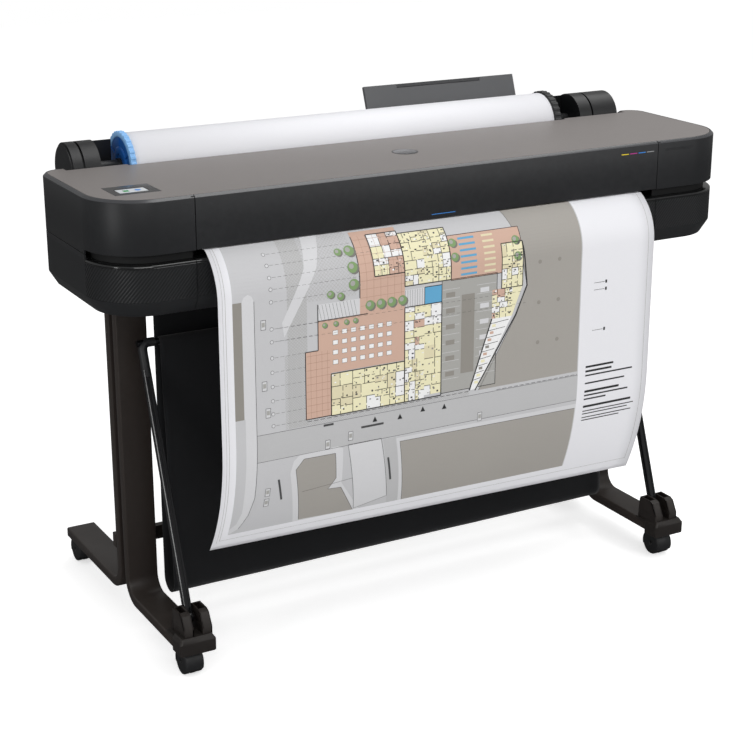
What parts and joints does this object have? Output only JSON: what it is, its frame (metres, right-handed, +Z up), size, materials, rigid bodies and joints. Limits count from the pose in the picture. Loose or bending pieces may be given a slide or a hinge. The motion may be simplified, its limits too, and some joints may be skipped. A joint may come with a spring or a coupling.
{
  "type": "large format plotter",
  "caption": "Wide roll-fed plotter on a wheeled stand, with a rear paper roll and sheet tray, a hinged front window, a hanging printed sheet and a fabric catch bin.",
  "frame": {"origin": "on the floor, in the middle of the footprint", "axes": "+X along the roll to the right end, +Y from the front to the back, +Z up"},
  "size_m": [1.317, 0.6458, 0.9523],
  "materials": {
    "casing_charcoal": "fine moulded grain, low sheen",
    "top_taupe": "fine matte grain",
    "black_plastic": "moulded satin",
    "hub_black": "satin",
    "hub_blue": "satin gloss",
    "tray_grey": "fine texture",
    "stand_bronze": "satin powder coat",
    "bracket_brown": "moulded satin",
    "arm_black": "satin black",
    "bin_fabric": "plain weave, matte",
    "frame_steel": "zinc plated sheet",
    "rail_chrome": "ground and polished",
    "belt_rubber": "matte",
    "roller_rubber": "matte, fine grit",
    "pulley_plastic": "moulded",
    "motor_metal": "satin",
    "encoder_film": "clear film with fine bars",
    "paper_white": "coated bond",
    "print_paper": "coated bond with a printed plan",
    "core_card": "spiral wound",
    "ink_plastic": "moulded, coloured caps",
    "board_green": "solder mask",
    "caster_black": "moulded satin",
    "wheel_rubber": "satin tread"
  },
  "bodies": {
    "machine": {"lower_casing": "casing_charcoal", "left_end_cover": "casing_charcoal", "right_end_cover": "casing_charcoal", "top_plate": "top_taupe", "rear_casing": "black_plastic", "screen_bezel": "black_plastic", "left_roll_support": "black_plastic", "right_roll_support": "black_plastic", "service_station": "black_plastic", "platen": "black_plastic", "pinch_arms": "black_plastic", "rear_sockets": "black_plastic", "left_front_post": "stand_bronze", "left_rear_post": "stand_bronze", "right_front_post": "stand_bronze", "right_rear_post": "stand_bronze", "stand_brackets": "stand_bronze", "cross_brace": "stand_bronze", "left_arm_bracket": "bracket_brown", "right_arm_bracket": "bracket_brown", "bin_back_fabric": "bin_fabric", "side_plates": "frame_steel", "chassis_beam": "frame_steel", "power_supply": "frame_steel", "stand_screws": "frame_steel", "carriage_rail": "rail_chrome", "carriage_belt": "belt_rubber", "feed_belt": "belt_rubber", "drive_motors": "motor_metal", "encoder_strip": "encoder_film", "printed_sheet": "print_paper", "ink_cartridges": "ink_plastic", "main_board": "board_green"},
    "window": {"access_window": "casing_charcoal"},
    "print_carriage": {"carriage": "black_plastic", "printhead": "black_plastic"},
    "carriage_pulley": {"carriage_pulley": "pulley_plastic"},
    "idler_pulley": {"idler_pulley": "pulley_plastic"},
    "paper_roll": {"spindle": "rail_chrome", "roll_core": "core_card", "roll_paper": "paper_white", "left_hub": "hub_blue", "right_hub": "hub_black"},
    "feed_roller": {"feed_roller": "roller_rubber"},
    "feed_motor_pulley": {"feed_motor_pulley": "pulley_plastic"},
    "pinch_rollers": {"pinch_rollers": "roller_rubber"},
    "tray": {"rear_tray": "tray_grey"},
    "tray_extension": {"tray_extension": "tray_grey"},
    "bin_frame": {"left_bin_arm": "arm_black", "right_bin_arm": "arm_black", "bin_top_rod": "arm_black", "bin_front_fabric": "bin_fabric"},
    "caster_front_left": {"caster_hood_front_left": "caster_black"},
    "wheels_front_left": {"caster_wheels_front_left": "wheel_rubber"},
    "caster_front_right": {"caster_hood_front_right": "caster_black"},
    "wheels_front_right": {"caster_wheels_front_right": "wheel_rubber"},
    "caster_rear_left": {"caster_hood_rear_left": "caster_black"},
    "wheels_rear_left": {"caster_wheels_rear_left": "wheel_rubber"},
    "caster_rear_right": {"caster_hood_rear_right": "caster_black"},
    "wheels_rear_right": {"caster_wheels_rear_right": "wheel_rubber"}
  },
  "joints": [
    {"name": "window_hinge", "type": "hinge", "parent": "machine", "child": "window", "pos_m": [-0.0125, -0.2716, 0.8762], "axis": [-1, 0, 0], "range_deg": [0, 75]},
    {"name": "carriage_slide", "type": "slide", "parent": "machine", "child": "print_carriage", "axis": [-1, 0, 0], "range_m": [0, 0.96]},
    {"name": "carriage_pulley_spin", "type": "hinge", "parent": "machine", "child": "carriage_pulley", "pos_m": [0.538, -0.0326, 0.842], "axis": [0, 0, 1], "range_deg": [-6900, 0]},
    {"name": "idler_pulley_spin", "type": "hinge", "parent": "machine", "child": "idler_pulley", "pos_m": [-0.538, -0.0326, 0.842], "axis": [0, 0, 1], "range_deg": [-6900, 0]},
    {"name": "roll_spin", "type": "hinge", "parent": "machine", "child": "paper_roll", "pos_m": [-0.024, 0.0754, 0.868], "axis": [1, 0, 0], "continuous": true},
    {"name": "feed_roller_spin", "type": "hinge", "parent": "machine", "child": "feed_roller", "pos_m": [0, -0.0396, 0.771], "axis": [1, 0, 0], "continuous": true},
    {"name": "feed_motor_spin", "type": "hinge", "parent": "machine", "child": "feed_motor_pulley", "pos_m": [-0.574, -0.1246, 0.73], "axis": [1, 0, 0], "continuous": true},
    {"name": "pinch_rollers_spin", "type": "hinge", "parent": "machine", "child": "pinch_rollers", "pos_m": [-0.024, -0.0396, 0.7921], "axis": [1, 0, 0], "continuous": true},
    {"name": "tray_hinge", "type": "hinge", "parent": "machine", "child": "tray", "pos_m": [0.251, 0.1444, 0.857], "axis": [-1, 0, 0], "range_deg": [0, 100]},
    {"name": "tray_extension_slide", "type": "slide", "parent": "tray", "child": "tray_extension", "axis": [0, 0.342, 0.9397], "range_m": [0, 0.05]},
    {"name": "bin_pivot", "type": "hinge", "parent": "machine", "child": "bin_frame", "pos_m": [0, -0.2506, 0.103], "axis": [1, 0, 0], "range_deg": [0, 20]},
    {"name": "caster_swivel_front_left", "type": "hinge", "parent": "machine", "child": "caster_front_left", "pos_m": [-0.532, -0.2746, 0.054], "axis": [0, 0, 1], "continuous": true},
    {"name": "wheels_spin_front_left", "type": "hinge", "parent": "caster_front_left", "child": "wheels_front_left", "pos_m": [-0.532, -0.2626, 0.0245], "axis": [1, 0, 0], "continuous": true},
    {"name": "caster_swivel_front_right", "type": "hinge", "parent": "machine", "child": "caster_front_right", "pos_m": [0.532, -0.2746, 0.054], "axis": [0, 0, 1], "continuous": true},
    {"name": "wheels_spin_front_right", "type": "hinge", "parent": "caster_front_right", "child": "wheels_front_right", "pos_m": [0.532, -0.2626, 0.0245], "axis": [1, 0, 0], "continuous": true},
    {"name": "caster_swivel_rear_left", "type": "hinge", "parent": "machine", "child": "caster_rear_left", "pos_m": [-0.532, 0.2834, 0.054], "axis": [0, 0, 1], "continuous": true},
    {"name": "wheels_spin_rear_left", "type": "hinge", "parent": "caster_rear_left", "child": "wheels_rear_left", "pos_m": [-0.532, 0.2954, 0.0245], "axis": [1, 0, 0], "continuous": true},
    {"name": "caster_swivel_rear_right", "type": "hinge", "parent": "machine", "child": "caster_rear_right", "pos_m": [0.532, 0.2834, 0.054], "axis": [0, 0, 1], "continuous": true},
    {"name": "wheels_spin_rear_right", "type": "hinge", "parent": "caster_rear_right", "child": "wheels_rear_right", "pos_m": [0.532, 0.2954, 0.0245], "axis": [1, 0, 0], "continuous": true}
  ],
  "couplings": [
    {"joint": "carriage_pulley_spin", "follows": "carriage_slide", "rad_per_m": -125},
    {"joint": "idler_pulley_spin", "follows": "carriage_slide", "rad_per_m": -125},
    {"joint": "feed_roller_spin", "follows": "roll_spin", "ratio": -4.75},
    {"joint": "feed_motor_spin", "follows": "roll_spin", "ratio": -9.5},
    {"joint": "pinch_rollers_spin", "follows": "roll_spin", "ratio": 7.125}
  ]
}
